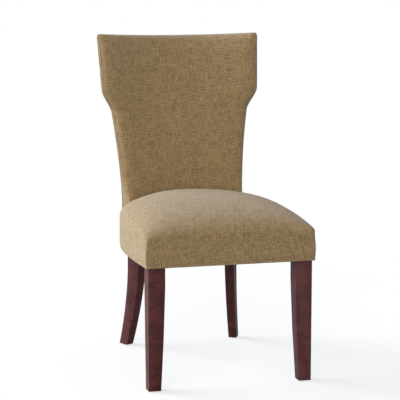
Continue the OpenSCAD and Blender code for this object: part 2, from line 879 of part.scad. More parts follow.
back_web_count = 5;
frame_face = frame_inset + stile_depth;
module back_webbing() {
    low = back_base + layer_gap + web_width / 2;
    high = frame_top - web_width;
    color(web_black) for (k = [0 : back_web_count - 1]) {
        z = low + (high - low) * k / (back_web_count - 1);
        difference() {
            barrel_slice(
                z, z + web_width, frame_face + layer_gap,
                frame_face + layer_gap + web_thickness, post_angle
            );
            on_side(1) at_post() translate([post_width / 4, 0, 0]) cube(overall_height);
        }
    }
}
back_hessian_near = frame_face + 2 * layer_gap + web_thickness;
module back_hessian() {
    color(jute) barrel_slice(
        back_base + under_wadding, frame_top, back_hessian_near,
        back_hessian_near + hessian, post_angle
    );
}
foam_near = back_hessian_near + hessian + layer_gap;
foam_short = 2 * wadding;
module back_foam() {
    inset = under_wadding + foam_short;
    color(foam_cream) closed_form(
        back_grid(inset, back_thickness - under_wadding, foam_short),
        [], back_sheet(inset, foam_near), back_nu, back_nv
    );
}
module back_wadding() {
    color(wadding_white) back_skin(under_cover, under_cover + wadding, frame_inset);
}
module inside_back_cover() {
    color(linen) back_skin(0, fabric, under_cover);
}
module outside_back_board() {
    color(card_grey) difference() {
        barrel_slice(
            hem_height + wadding, overall_height, under_cover,
            under_cover + board, full_span
        );
        for (side = [-1, 1]) on_side(side) outside_edge(under_cover + fabric / 2);
        above_top(under_cover + fabric / 2);
    }
}
module outside_back_cover() {
    color(linen) difference() {
        barrel_slice(hem_height, overall_height + top_dip, 0, fabric, full_span);
        for (side = [-1, 1]) on_side(side) outside_edge(0);
        above_top(0);
    }
}

// Underside

module dust_cover() {
    base = hem_height + layer_gap + staple_wire;
    color(cambric) difference() {
        seat_plan_sheet(side_padding + fabric, base, dust_cloth);
        for (side = [-1, 1]) on_side(side) {
            translate([leg_inner - layer_gap, leg_front - cut, base - cut])
                cube([rail_height, front_leg_top + layer_gap + cut, dust_cloth + 2 * cut]);
            at_post() translate([-post_width / 2 - layer_gap, post_front - layer_gap, base - cut])
                cube([rail_height, rail_height, dust_cloth + 2 * cut]);
        }
    }
}
module dust_cover_staples() {
    base = hem_height + layer_gap;
    inset = rail_thickness / 2 + side_padding;
    front_count = floor((2 * leg_inner - staple_pitch) / staple_pitch / 2);
    side_count = floor((draw_end - leg_back - staple_pitch) / staple_pitch);
    color(steel) {
        for (k = [-front_count : front_count])
            translate([k * staple_pitch - staple_crown / 2, seat_front + inset, base])
                cube([staple_crown, staple_wire, staple_wire]);
        for (side = [-1, 1]) on_side(side) for (k = [0 : side_count - 1]) {
            y = leg_back + staple_pitch * (k + 1 / 2);
            step = staple_crown / 2;
            slope = atan2(seat_half_width(y + step) - seat_half_width(y - step), staple_crown);
            translate([seat_half_width(y) - inset, y, base]) rotate([0, 0, -slope])
                translate([0, -step, 0]) cube([staple_wire, staple_crown, staple_wire]);
        }
    }
}

left_front_leg();
right_front_leg();
left_rear_post();
right_rear_post();
front_seat_rail();
back_seat_rail();
left_seat_rail();
right_seat_rail();
front_left_corner_block();
front_right_corner_block();
rear_left_corner_block();
rear_right_corner_block();
corner_block_screws();
seat_rail_dowels();
back_lower_rail();
back_middle_rail();
back_top_rail();
back_rail_dowels();
left_wing_block();
right_wing_block();
wing_block_screws();
seat_webbing_lengthwise();
seat_webbing_crosswise();
seat_hessian();
seat_foam();
seat_wadding();
seat_cover();
left_rear_flap();
right_rear_flap();
back_webbing();
back_hessian();
back_foam();
back_wadding();
inside_back_cover();
outside_back_board();
outside_back_cover();
dust_cover();
dust_cover_staples();
front_left_glide();
front_right_glide();
rear_left_glide();
rear_right_glide();
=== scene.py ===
# %% [markdown]
# This lesson dresses an upholstered dining chair: a tight seat with a high crown, a
# curved back that flares into two small wings, and four stained hardwood legs. The
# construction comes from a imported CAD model, which is loaded first and never moved.
# Everything made here is in metres and sits where that frame says, so nothing has to
# be fitted by eye afterwards.

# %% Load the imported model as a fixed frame
import json
import math

import bmesh
import bpy
import numpy as np
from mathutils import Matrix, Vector


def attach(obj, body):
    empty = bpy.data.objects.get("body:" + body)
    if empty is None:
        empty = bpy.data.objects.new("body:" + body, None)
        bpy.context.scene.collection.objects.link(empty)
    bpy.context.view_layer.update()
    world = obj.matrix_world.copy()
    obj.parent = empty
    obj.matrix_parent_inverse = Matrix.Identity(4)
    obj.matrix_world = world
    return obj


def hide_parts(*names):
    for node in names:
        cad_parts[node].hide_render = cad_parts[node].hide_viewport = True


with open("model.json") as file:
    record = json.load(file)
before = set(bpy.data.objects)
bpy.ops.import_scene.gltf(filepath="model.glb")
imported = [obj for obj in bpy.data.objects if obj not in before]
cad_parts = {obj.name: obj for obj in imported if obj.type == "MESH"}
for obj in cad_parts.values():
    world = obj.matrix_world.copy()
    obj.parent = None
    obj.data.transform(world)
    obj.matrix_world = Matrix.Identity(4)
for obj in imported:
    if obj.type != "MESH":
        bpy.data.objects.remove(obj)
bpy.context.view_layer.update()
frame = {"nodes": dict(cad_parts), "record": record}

nodes = frame["nodes"]

# %% [markdown]
# Upholsterers and joiners work in millimetres, and Blender in metres. One factor turns
# a size from the workshop into Blender's unit. A few driving sizes describe the seat
# and the back.

# %% Sizes of the seat and the back
MM = 0.001
SEAT_FRONT = -348 * MM
SEAT_HALF = 252.5 * MM
HEM = 361.2 * MM
WALL_TOP = 449 * MM
WALL_BULGE, BULGE_SPAN = 3.0 * MM, 150 * MM  # outward swell, and the height it takes
CROWN = 85 * MM
DRAW_START = 140 * MM  # how far from the front the sides begin to draw in
DRAW_IN = 66 * MM

BACK_REAR = 348 * MM
BACK_TOP = 1000 * MM
TOP_DIP = 9 * MM  # the middle of the top edge is lower than its tips
BACK_RADIUS = 376 * MM
LEAN = math.tan(math.radians(9.25))  # the back leans by 9.25 degrees, from LEAN_START up
LEAN_START = 480 * MM
BACK_THICK = 40 * MM
BACK_CROWN = 8 * MM
EDGE_ROUND, EDGE_ROUND_LOW = 26 * MM, -1.5 * MM  # how far the sides round off, and at the foot
ROUND_RISE = 110 * MM  # the height over which the first takes over from the second
HALF_LOW, HALF_WAIST, HALF_WING, HALF_TIP = (w * MM for w in (199, 222.3, 256, 264.5))
FLARE_START, FLARE_END = 746 * MM, 828 * MM

# %% [markdown]
# The back is a slice of a barrel: seen from above, every horizontal line of it is an
# arc round one upright axis, and above the seat the barrel leans outward like a cone.
# The seat's plan ends in an arc round the same axis, so that it meets the back evenly.
# Its padded sides belly out by several millimetres behind the front corners, and draw in
# towards the rear with a power curve that turns in late.

# %% Curves that the seat and the back share
def outside_radius(z):
    return BACK_RADIUS + max(0.0, z - LEAN_START) * LEAN


BARREL_Y = BACK_REAR - outside_radius(BACK_TOP - TOP_DIP)
SEAT_CLEARANCE = 2 * MM
SEAT_REAR_RADIUS = BACK_RADIUS - BACK_THICK - SEAT_CLEARANCE
REAR_CORNER_COSINE = 0.827  # of the angle at which a side meets the rear arc, from the axis
DRAW_END = BARREL_Y + REAR_CORNER_COSINE * SEAT_REAR_RADIUS
DRAW_POWER = 4.8
SIDE_BOW, BOW_SPAN, BOW_POWER = 7.4 * MM, 367 * MM, 1.08  # how the sides belly outward


def seat_half_width(y, bow=1.0):
    back = max(0.0, y - SEAT_FRONT)
    t = max(0.0, (back - DRAW_START) / (DRAW_END - SEAT_FRONT - DRAW_START))
    belly = SIDE_BOW * math.sin(math.pi * min(1.0, back / BOW_SPAN) ** BOW_POWER)
    return SEAT_HALF + bow * belly - DRAW_IN * min(t, 1.0) ** DRAW_POWER


def barrel_arc(x, r):
    return BARREL_Y + math.sqrt(max(0.0, r * r - x * x))


def smooth(t):
    t = min(1.0, max(0.0, t))
    return t * t * (3 - 2 * t)


def stations(length, step, close):
    """Places along a length, about a step apart, with those in close added at both ends."""
    inner = length - 2 * close[-1]
    count = max(2, round(inner / step))
    middle = [close[-1] + inner * k / count for k in range(count + 1)]
    return list(close[:-1]) + middle + [length - c for c in reversed(close[:-1])]


print("barrel axis at y", round(BARREL_Y, 4), "sides end at y", round(DRAW_END, 4))

# %% [markdown]
# Upholstery is cloth that was cut flat, so each panel carries its own flat map. It is
# called weave and is measured in metres along the cloth, which lets a material lay its
# threads at their real size and in their real direction, round every corner. A panel is
# a grid of points for the face of the pad, and rings of points that carry the grid's
# border over the edge. The map is measured on the grid itself, along each row and each
# column from the middle, and goes on growing along the rings by the length of cloth that
# they take, so the weave isn't stretched where a pad rises steeply.

# %% A panel of cloth made of a face and the rings round its border
SIDES = ((0, -1), (1, 0), (0, 1), (-1, 0))  # the way the cloth runs off each side
CELLS = {}  # how many cells each panel's grid has, across and along


def border(nu, nv):
    """The grid positions round a grid of nu by nv cells, with the side each step is on."""
    return (
        [(i, 0, 0) for i in range(nu)]
        + [(nu, j, 1) for j in range(nv)]
        + [(i, nv, 2) for i in range(nu, 0, -1)]
        + [(0, j, 3) for j in range(nv, 0, -1)]
    )


def cloth_places(grid):
    """Each point's place on the cloth: its distance from the middle by row and by column."""
    spots = np.array(grid)
    places = []
    for axis in (1, 0):
        steps = np.linalg.norm(np.diff(spots, axis=axis), axis=2)
        run = np.insert(np.cumsum(steps, axis=axis), 0, 0.0, axis=axis)
        places.append(run - np.take(run, [run.shape[axis] // 2], axis=axis))
    return np.stack(places, axis=2)


def panel(name, grid, rings, open_foot=False):
    """grid[j][i] are the points of the face, and rings[k][m] those of the turned edge.

    With open_foot the cloth ends at the grid's first row and isn't turned there.
    """
    nu, nv = len(grid[0]) - 1, len(grid) - 1
    flat = cloth_places(grid)
    around = border(nu, nv)
    count = len(around)
    points = [p for row in grid for p in row] + [p for ring in rings for p in ring]
    first = [j * (nu + 1) + i for i, j, _ in around]
    loops = [first] + [
        [(nu + 1) * (nv + 1) + k * count + m for m in range(count)] for k in range(len(rings))
    ]
    faces, places = [], []
    for j in range(nv):
        for i in range(nu):
            corners = ((i, j), (i + 1, j), (i + 1, j + 1), (i, j + 1))
            faces.append([b * (nu + 1) + a for a, b in corners])
            places.append([tuple(flat[b][a]) for a, b in corners])
    spots = np.array(points, float)
    run = np.zeros(count)
    for k in range(len(rings)):
        before = run
        run = run + np.linalg.norm(spots[loops[k + 1]] - spots[loops[k]], axis=1)
        for m in range(nu if open_foot else 0, count):
            n = (m + 1) % count
            way = SIDES[around[m][2]]
            faces.append([loops[k][n], loops[k][m], loops[k + 1][m], loops[k + 1][n]])
            places.append([
                tuple(flat[around[e][1]][around[e][0]][c] + way[c] * grown[e] for c in (0, 1))
                for e, grown in ((n, before), (m, before), (m, run), (n, run))
            ])
    mesh = bpy.data.meshes.new(name)
    mesh.from_pydata(points, [], faces)
    cloth_map = mesh.uv_layers.new(name="weave")
    cloth_map.data.foreach_set("uv", np.array(places, np.float32).ravel())
    mesh.shade_smooth()
    piece = bpy.data.objects.new(name, mesh)
    bpy.context.scene.collection.objects.link(piece)
    CELLS[name] = (nu, nv)
    return piece


print("panel() builds a face and its turned edges, with a map called weave")

# %% [markdown]
# The seat is tight upholstery: foam over a webbed frame, pulled under a sewn cover with
# no loose cushion. Its top is a high crown that rises steeply from every edge and
# flattens over the middle, which is the shape that foam takes under a tight cover. Two
# powers describe that, one across and one from the front, and the crown sinks a little
# towards the back. The two front corners are mitred seams that are tight at the hem and
# relax upward, so the plan is rounded there by a few millimetres below and by the width
# of a thumb where the crown begins.

# %% The plan and the crown of the seat
CORNER_LOW, CORNER_HIGH, CORNER_POWER = 4 * MM, 16 * MM, 3
SHARPEST_CORNER = 0.5 * MM
CROWN_ACROSS, CROWN_ALONG = (2.32, 1 / 2.64), (2.64, 1 / 2)  # each an inner and an outer power
REAR_DROP = 0.386  # the part of the crown that is lost at the rear
SWELL_FADE = 8  # a high power keeps the swell of the walls near the walls


def crown_share(u, v):
    across = max(0.0, 1 - abs(u) ** CROWN_ACROSS[0]) ** CROWN_ACROSS[1]
    along = max(0.0, 1 - (1 - v) ** CROWN_ALONG[0]) ** CROWN_ALONG[1]
    return across * along * (1 - REAR_DROP * v**3)


def rounded(dx, dy, r):
    """Moves a point, given by its distances from two sides, for a corner of radius r."""
    near, far = min(dx, dy), max(dx, dy)
    if far >= r:
        return dx, dy
    turn = math.pi / 4 * (1 - (far - near) / (r - near))
    far, near = r - (r - near) * math.sin(turn), r - (r - near) * math.cos(turn)
    return (near, far) if dx < dy else (far, near)


def corner_radius(share):
    """The radius of the front corners at a share of the wall's height."""
    return CORNER_LOW + (CORNER_HIGH - CORNER_LOW) * smooth(share) ** CORNER_POWER


def seat_plan(u, v, inset=0.0, corner=CORNER_HIGH, bow=1.0):
    front, r = SEAT_FRONT + inset, SEAT_REAR_RADIUS - inset
    rough = min(DRAW_END, front + v * (BARREL_Y + r - front))
    y = front + v * (barrel_arc(u * (seat_half_width(rough) - inset), r) - front)
    half = seat_half_width(min(DRAW_END, y), bow) - inset
    dx, dy = rounded(half * (1 - abs(u)), y - front, max(corner - inset, SHARPEST_CORNER))
    return math.copysign(half - dx, u), front + dy


def swelled(x, y, u, v, height):
    """Moves a point of the seat outward by the swell that its height above the hem gives."""
    swell = WALL_BULGE * math.sin(math.pi * min(1.0, height / BULGE_SPAN))
    x += math.copysign(swell * abs(u) ** SWELL_FADE, u)
    return x, y - swell * (1 - v) ** SWELL_FADE


print("front corner in plan:", [round(c, 4) for c in seat_plan(1, 0)])

# %% [markdown]
# The walls swell by a few millimetres between crown and hem. At the bottom the
# cloth is folded double and pulled under the rail, which shows as a thin soft roll with
# a shallow groove above it. The profile of that hem is a short list of heights and
# insets, and the wall above it is stepped evenly. The rear wall has no hem: it stands on
# the deck, in front of the back.

# %% The seat's cover as a panel
DECK = 444.6 * MM
HEM_ROLL = [  # height above the hem, inset from the wall
    (12.0, 0.0), (10.2, 0.2), (9.2, 1.1), (8.4, 1.4), (7.6, 0.7), (6.4, -0.2),
    (4.4, -0.5), (2.6, -0.2), (1.2, 0.6), (0.4, 1.8), (0.1, 3.4), (0.3, 7.2),
]
WALL_ROWS, SEAT_CELL = 13, 7.5 * MM
EDGE_STEPS = [c * MM for c in (0, 0.3, 1, 2.4, 4.6)]  # closer rows where the cloth turns
BOW_FADE = 1.8  # the belly of the sides is gone at 1 / BOW_FADE of the crown's rise


def seat_ring(us, vs, height, inset, share):
    """The border of the seat at a height above the hem; share is 1 at the wall's top."""
    nu, nv = len(us) - 1, len(vs) - 1
    ring = []
    for i, j, _ in border(nu, nv):
        u, v = us[i], vs[j]
        x, y = seat_plan(u, v, inset, corner_radius(share))
        z = HEM + height
        if j == nv and 0 < i < nu:
            top = WALL_TOP + CROWN * crown_share(u, v)
            z = DECK + height * (top - DECK) / (WALL_TOP - HEM)
        else:
            x, y = swelled(x, y, u, v, height)
        ring.append((x, y, z))
    return ring


def seat_panel():
    across = stations(2 * SEAT_HALF, SEAT_CELL, EDGE_STEPS)
    along = stations(SEAT_REAR_RADIUS + BARREL_Y - SEAT_FRONT, SEAT_CELL, EDGE_STEPS)
    us = [2 * s / across[-1] - 1 for s in across]
    vs = [s / along[-1] for s in along]
    grid = []
    height = WALL_TOP - HEM
    for v in vs:
        row = []
        for u in us:
            share = crown_share(u, v)
            rise, bow = CROWN * share, 1 - smooth(BOW_FADE * share)
            x, y = swelled(*seat_plan(u, v, bow=bow), u, v, height + rise)
            row.append((x, y, WALL_TOP + rise))
        grid.append(row)
    low = HEM_ROLL[0][0] * MM
    rows = [(low + (height - low) * (1 - k / WALL_ROWS), 0.0) for k in range(1, WALL_ROWS)]
    rows += [(h * MM, d * MM) for h, d in HEM_ROLL]
    rings = [seat_ring(us, vs, h, d, h / height) for h, d in rows]
    return panel("seat_upholstery", grid, rings)


seat = seat_panel()
print("seat cover:", len(seat.data.polygons), "faces")

# %% [markdown]
# Pulled cloth isn't exactly the curve that a formula gives. A short cloth simulation
# presses the cover outward from inside, as the foam does, while the seams and the hem
# hold it. Each point may move only a couple of millimetres, so the seat keeps its measured
# shape and gains the slight unevenness of real upholstery. The movement is evened out
# between neighbours, because stiff foam under the cloth lets no small puckers stand. The
# result is written into the mesh, so nothing is left to simulate later.

# %% Let the padding press a cover outward
SEAT_CAP, BACK_CAP = 2.2 * MM, 1.8 * MM  # the furthest that a point of each may move
PRESSURE, STEPS, QUALITY = 4.0, 20, 6  # of the air inside, frames to run and passes in each
NEARLY_NOTHING = 1e-12  # keeps a point that doesn't move from dividing by zero


def evened(mesh, shift, rounds=10):
    """Each point's movement becomes the mean of its own and its neighbours', repeatedly."""
    ends = np.array([edge.vertices for edge in mesh.edges])
    share = np.ones(len(shift))
    np.add.at(share, ends.ravel(), 1.0)
    for _ in range(rounds):
        total = shift.copy()
        np.add.at(total, ends[:, 0], shift[ends[:, 1]])
        np.add.at(total, ends[:, 1], shift[ends[:, 0]])
        shift = total / share[:, None]
    return shift


def press_out(piece, held, cap):
    """held is a weight per vertex, 1 where a seam holds, and cap limits the movement."""
    group = piece.vertex_groups.new(name="held")
    for weight in (1.0, 0.5):
        spots = [int(v) for v in np.flatnonzero(np.isclose(held, weight))]
        group.add(spots, weight, "REPLACE")
    cloth = piece.modifiers.new("cloth", "CLOTH")
    cloth.settings.vertex_group_mass = group.name
    cloth.settings.use_pressure = True
    cloth.settings.uniform_pressure_force = PRESSURE
    cloth.settings.quality = QUALITY
    cloth.settings.effector_weights.gravity = 0
    cloth.point_cache.frame_start = 1
    cloth.point_cache.frame_end = STEPS
    scene = bpy.context.scene
    for frame_number in range(1, STEPS + 1):
        scene.frame_set(frame_number)
    seen = piece.evaluated_get(bpy.context.evaluated_depsgraph_get())
    start = np.empty(len(piece.data.vertices) * 3)
    moved = start.copy()
    piece.data.vertices.foreach_get("co", start)
    seen.data.vertices.foreach_get("co", moved)
    piece.modifiers.remove(cloth)
    piece.vertex_groups.remove(group)
    scene.frame_set(1)
    shift = (moved - start).reshape(-1, 3)
    far = np.linalg.norm(shift, axis=1, keepdims=True) + NEARLY_NOTHING
    shift = evened(piece.data, shift * cap * np.tanh(far / cap) / far)
    piece.data.vertices.foreach_set("co", start + shift.ravel())
    piece.data.update()
    print(piece.name, "moved by up to", round(float(np.abs(shift).max()) / MM, 2), "mm")


def drop_loose_points(mesh):
    shape = bmesh.new()
    shape.from_mesh(mesh)
    loose = [point for point in shape.verts if not point.link_faces]
    bmesh.ops.delete(shape, geom=loose, context="VERTS")
    shape.to_mesh(mesh)
    shape.free()


def apply_modifiers(piece):
    seen = piece.evaluated_get(bpy.context.evaluated_depsgraph_get())
    mesh = bpy.data.meshes.new_from_object(seen)
    piece.modifiers.clear()
    old, name = piece.data, piece.data.name
    piece.data = mesh
    bpy.data.meshes.remove(old)
    mesh.name = name


def solid_cloth(piece, thickness):
    """Gives a panel the thickness of its cloth, inward from the surface that is seen."""
    drop_loose_points(piece.data)
    skin = piece.modifiers.new("thickness", "SOLIDIFY")
    skin.thickness = thickness
    skin.offset = -1
    skin.thickness_clamp = 1
    apply_modifiers(piece)


CORNER_FREE, HELD_ROWS = 6, 3  # rings from the crown with free corners, and held at the hem


def held_by_seams(piece, free_rings, corner_seams):
    """1 past the free rings, and down the first two corners or along the foot."""
    nu, nv = CELLS[piece.name]
    face, ring = (nu + 1) * (nv + 1), 2 * (nu + nv)
    held = np.zeros(len(piece.data.vertices))
    held[face + ring * free_rings:] = 1.0
    held[face + ring * (free_rings - 1):face + ring * free_rings] = 0.5
    if corner_seams:
        for start in range(face + ring * CORNER_FREE, len(held), ring):
            held[[start, start + nu]] = 1.0
    else:
        held[:nu + 1] = 1.0
    return held


COVER_THICK = 1.6 * MM
press_out(seat, held_by_seams(seat, WALL_ROWS - HELD_ROWS, True), SEAT_CAP)
solid_cloth(seat, COVER_THICK)
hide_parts("seat_cover", "seat_wadding")
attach(seat, "root")
print("the seat is", round(max(v.co.z for v in seat.data.vertices), 4), "m high")

# %% [markdown]
# The back is a thin pad on the same barrel as the frame behind it. Its outline is narrow
# at the seat, swells slowly, flares over a hand's width into the wings and then rises
# almost straight to the tips. The pad is crowned by a few millimetres in the middle and
# rounds off at its sides and top. At the foot its sides stay full, where the seat meets
# them, so that no gap opens beside the seat.

# %% The outline and the pad of the back
SWELL_POWER = 1.7
PAD_SIDE, PAD_TOP, PAD_ROUND = 11, 34, 0.5  # powers: a high one rounds only near the edge
PAD_CROWN, PAD_RISE = 4, 2.5  # how late the crown fades at the top, and how soon it is full
BACK_BASE = 444.9 * MM
BACK_CORNER = 12 * MM


def back_edge(z):
    t = max(0.0, (z - LEAN_START) / (FLARE_START - LEAN_START))
    body = min(HALF_WAIST, HALF_LOW + (HALF_WAIST - HALF_LOW) * t**SWELL_POWER)
    wing = HALF_WING + (HALF_TIP - HALF_WING) * max(0.0, (z - FLARE_END) / (BACK_TOP - FLARE_END))
    f = smooth((z - FLARE_START) / (FLARE_END - FLARE_START))
    return body * (1 - f) + wing * f


def top_edge(x):
    return BACK_TOP - TOP_DIP * (1 - min(1.0, abs(x) / HALF_TIP) ** 2)


def back_point(a, z, depth, inset=0.0):
    """A point at a share a of the half width and a depth in from the outside back."""
    outer = outside_radius(z)
    turn = a * math.asin((back_edge(z) - inset) / outer)
    return (outer - depth) * math.sin(turn), BARREL_Y + (outer - depth) * math.cos(turn), z


def edge_depth(z):
    """How deep the side of the pad is, nearly as deep as the pad where the seat meets it."""
    low = smooth((z - BACK_BASE) / ROUND_RISE)
    return BACK_THICK - EDGE_ROUND_LOW - (EDGE_ROUND - EDGE_ROUND_LOW) * low


def pad_depth(a, t, z):
    side = max(0.0, 1 - abs(a) ** PAD_SIDE) ** PAD_ROUND
    cap = max(0.0, 1 - t**PAD_TOP) ** PAD_ROUND
    crown = BACK_CROWN * (1 - a * a) * (1 - t**PAD_CROWN) * smooth(PAD_RISE * t)
    return BACK_THICK - (BACK_THICK - edge_depth(z)) * (1 - side * cap) + crown


def outline_point(a, t, base, corner):
    """The share across and the height of a grid point, rounded at the two top corners."""
    z = base + t * (top_edge(a * HALF_TIP) - base)
    half, rise = back_edge(z), top_edge(a * HALF_TIP) - base
    dx, dz = rounded(half * (1 - abs(a)), rise * (1 - t), corner)
    return math.copysign(1 - dx / half, a), base + rise - dz


print("half width at the tips:", round(back_edge(BACK_TOP), 4))

# %% [markdown]
# The inside back wraps round the edges of the pad and ends at a hand-sewn seam, just in
# front of the outside back. The outside back is a flat panel over stiff board, turned in
# all round, so the two panels meet in a fine groove that follows the whole outline. They
# touch at the bottom of the groove, so the board doesn't show. Below the seat's deck only
# the outside back goes on, down to the hem.

# %% The two panels of the back
GROOVE = 2.5 * MM  # depth of the seam, where the two panels touch
INSIDE_TURN = [  # share of the way from the seam to the pad's face, inset
    (0.84, -1.1), (0.68, -1.8), (0.52, -2.1), (0.38, -2.1), (0.27, -1.7), (0.19, -0.9),
    (0.12, 0.3), (0.06, 1.4), (0.02, 2.0), (0.0, 2.2), (0.0, 4.4),
]
OUTSIDE_TURN = [(0.8, 0.3), (1.4, 1.1), (1.9, 1.8), (2.5, 2.2), (2.8, 4.4)]  # depth, inset
TOP_TURN = 0.4  # share of the turn's inset that the top edge takes
BACK_STEPS = [c * MM for c in (0, 0.4, 1.2, 2.8, 5.4, 9, 14, 20, 28)]
CELL_ACROSS, CELL_UP = 9 * MM, 8 * MM


def back_stations(base, close_low):
    across = stations(2 * HALF_WAIST, CELL_ACROSS, BACK_STEPS)
    up = stations(BACK_TOP - base, CELL_UP, BACK_STEPS)
    low = [s for s in up if s >= BACK_STEPS[-1] or s == 0 or close_low]
    return [2 * s / across[-1] - 1 for s in across], [s / up[-1] for s in low]


def inside_back_panel():
    across, ups = back_stations(BACK_BASE, False)
    place = {(i, j): outline_point(a, t, BACK_BASE, BACK_CORNER)
             for i, a in enumerate(across) for j, t in enumerate(ups)}
    grid = [[back_point(*place[i, j], pad_depth(a, t, place[i, j][1]))
             for i, a in enumerate(across)] for j, t in enumerate(ups)]
    rings = []
    for share, inset in INSIDE_TURN:
        ring = []
        for i, j, _ in border(len(across) - 1, len(ups) - 1):
            a, z = place[i, j]
            top = j == len(ups) - 1
            depth = GROOVE + (edge_depth(z) - GROOVE) * share
            x, y, z = back_point(a, z, depth, inset * MM)
            ring.append((x, y, z - (inset * TOP_TURN * MM if top else 0.0)))
        rings.append(ring)
    return panel("inside_back_upholstery", grid, rings, open_foot=True)


def outside_back_panel():
    across, ups = back_stations(HEM, True)
    place = {(i, j): outline_point(a, t, HEM, BACK_CORNER)
             for i, a in enumerate(across) for j, t in enumerate(ups)}
    nu, nv = len(across) - 1, len(ups) - 1
    grid = [[back_point(*place[nu - i, j], 0.0) for i in range(nu + 1)] for j in range(nv + 1)]
    rings = []
    for depth, inset in OUTSIDE_TURN:
        ring = []
        for i, j, _ in border(nu, nv):
            a, z = place[nu - i, j]
            x, y, z = back_point(a, z, depth * MM, inset * MM)
            lift = -inset * MM if j == nv else inset * MM if j == 0 else 0.0
            ring.append((x, y, z + lift))
        rings.append(ring)
    return panel("outside_back_upholstery", grid, rings)


inside_back = inside_back_panel()
outside_back = outside_back_panel()
print("back panels:", len(inside_back.data.polygons), len(outside_back.data.polygons), "faces")

# %% [markdown]
# Between the rear corner of the seat and the edge of the outside back, a narrow flap of
# the same cloth closes the side of the frame over the rear leg. It is padded a little,
# so it is modelled as a strip that bows outward, with the same hem as the seat. Its top
# turns in under the back's pad, so that no view looks into the frame.

# %% The flaps beside the rear legs
FLAP_ROWS, FLAP_COLUMNS, FLAP_BOW, FLAP_TURN = 16, 8, 1.6 * MM, 1.5 * MM
FLAP_TUCK = 1.8 * MM  # its far edge lies this deep behind the outside back
FLAP_TOP = [(0.5, 0.6), (0.9, 2.2), (1.0, 8.0), (1.0, 26.0)]  # height above the base, inset
FLAP_HEM = HEM_ROLL[:1:-1]  # the seat's hem from the bottom up, without its two top rows


def flap_panel(name, side):
    x0 = seat_half_width(DRAW_END)
    start = np.array([x0, barrel_arc(x0, SEAT_REAR_RADIUS)])
    end = np.array(back_point(1.0, HEM, FLAP_TUCK)[:2])
    along = end - start
    outward = np.array([along[1], -along[0]]) / np.linalg.norm(along)
    heights = [h * MM for h, _ in FLAP_HEM]
    rise = BACK_BASE - HEM
    heights += [heights[-1] + (rise - heights[-1]) * k / FLAP_ROWS for k in range(1, FLAP_ROWS + 1)]
    insets = [d * MM for _, d in FLAP_HEM] + [0.0] * FLAP_ROWS
    heights += [rise + h * MM for h, _ in FLAP_TOP]
    insets += [d * MM for _, d in FLAP_TOP]
    grid = []
    for h, inset in zip(heights, insets):
        row = []
        for k in range(FLAP_COLUMNS + 1):
            s = k / FLAP_COLUMNS
            p = start + along * s + outward * (FLAP_BOW * math.sin(math.pi * s) - inset)
            row.append((side * p[0], p[1], HEM + h))
        grid.append(row if side > 0 else row[::-1])
    turn = []
    for i, j, _ in border(FLAP_COLUMNS, len(heights) - 1):
        x, y, z = grid[j][i]
        turn.append((x - side * outward[0] * FLAP_TURN, y - outward[1] * FLAP_TURN, z))
    return panel(name, grid, [turn])


flaps = {name: flap_panel(f"{name}_flap_upholstery", side)
         for name, side in (("left", -1), ("right", 1))}
print("flaps:", sorted(flaps))

# %% [markdown]
# The pad of the back is pressed out under its cover in the same way as the seat. The
# outside back isn't: it is stretched over board and stays flat. The flaps are short and
# only bow.

# %% Finish the back and the flaps
SEAM_ALLOWANCE, FREE_TURN = 12 * MM, 4  # FREE_TURN is how many rings of the turn may move
press_out(inside_back, held_by_seams(inside_back, FREE_TURN, False), BACK_CAP)
for piece, node in ((inside_back, "inside_back_cover"), (outside_back, "outside_back_cover"),
                    (flaps["left"], "left_rear_flap"), (flaps["right"], "right_rear_flap")):
    solid_cloth(piece, COVER_THICK)
    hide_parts(node)
    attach(piece, "root")
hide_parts("back_wadding")

# %% [markdown]
# Under the seat a black cambric keeps dust off the webbing. It is cut to the plan of the
# seat with a notch round each leg, folded under by a finger's width and stapled, so its
# edge is double and it hangs by a millimetre or so in the middle. The sheet is laid out
# in rows from the front to the rear. Where a leg stands, two rows lie close together
# with different widths, which makes the notch.

# %% The dust cover as a stretched sheet
DUST_INSET, DUST_Z, DUST_THICK = 9.5 * MM, 364.2 * MM, 0.5 * MM
DUST_FOLD, DUST_SAG, DUST_STEP = 11 * MM, 1.4 * MM, 14 * MM
LEG_INNER, LEG_BACK, POST_FRONT = 195.2 * MM, -290.7 * MM, 140 * MM
POST_INNER, NOTCH_STEP = 118 * MM, 0.6 * MM
DUST_FRONT, DUST_COLUMNS = SEAT_FRONT + DUST_INSET, 14


def dust_rear(x):
    return barrel_arc(x, SEAT_REAR_RADIUS - DUST_INSET)


def dust_half(y):
    """Half the width of the dust cover at y, between or beside the legs."""
    if y < LEG_BACK:
        return LEG_INNER
    return seat_half_width(min(y, DRAW_END)) - DUST_INSET if y < POST_FRONT else POST_INNER


